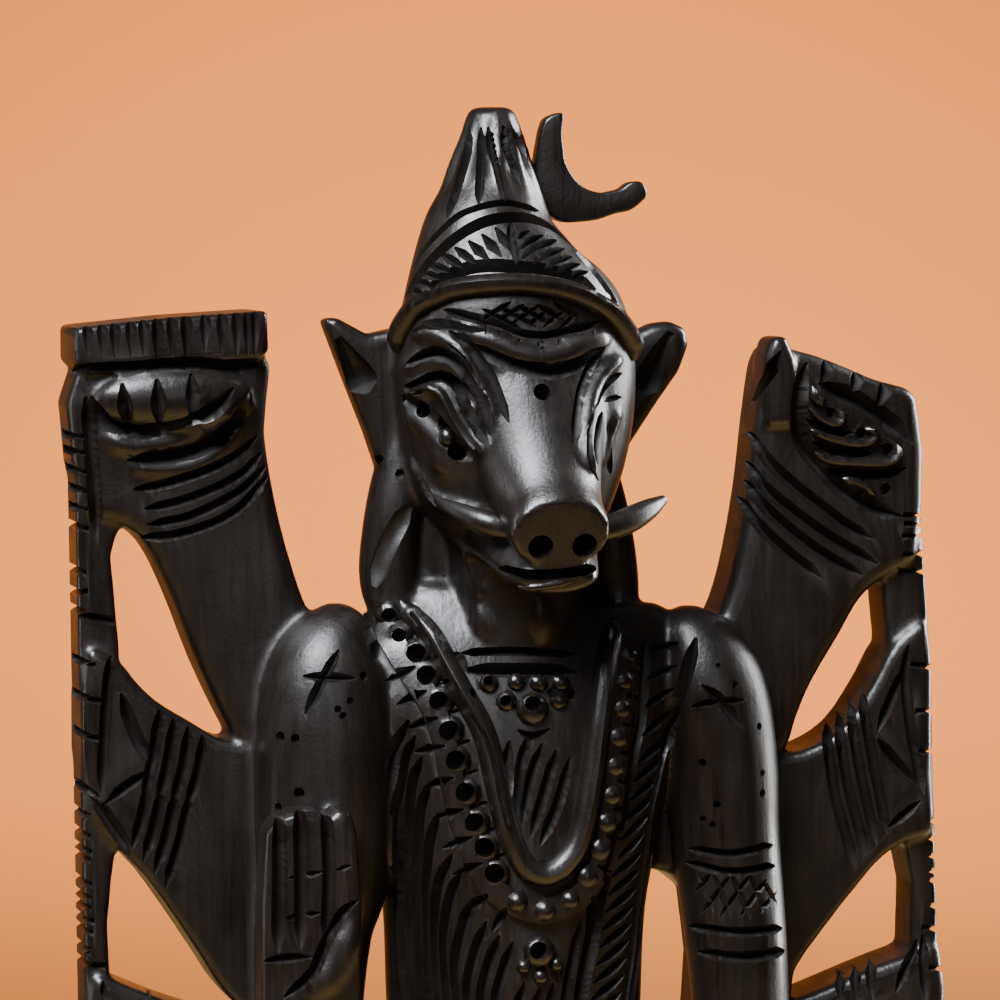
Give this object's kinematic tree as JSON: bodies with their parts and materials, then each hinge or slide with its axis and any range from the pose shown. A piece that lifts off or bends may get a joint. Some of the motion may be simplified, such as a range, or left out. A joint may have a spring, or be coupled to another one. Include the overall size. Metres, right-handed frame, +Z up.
{
  "type": "carved wooden deity figurine",
  "caption": "Standing boar-headed goddess with many arms, hand-carved from one block of dark wood on a low lotus base, with set-in tusks and a crescent on the crown",
  "frame": {"origin": "middle of the flat underside of the lotus base", "axes": "+Z up along the figure's height, +X to the right as seen from the front, -Y the way the figure faces"},
  "size_m": [0.1293, 0.0636, 0.32],
  "materials": {
    "ebony": "satin polish with fine carving and sanding marks",
    "ebony_peg": "satin polish"
  },
  "bodies": {
    "root": {"idol": "ebony", "crescent": "ebony_peg", "tusk_left": "ebony_peg", "tusk_right": "ebony_peg"}
  },
  "joints": []
}
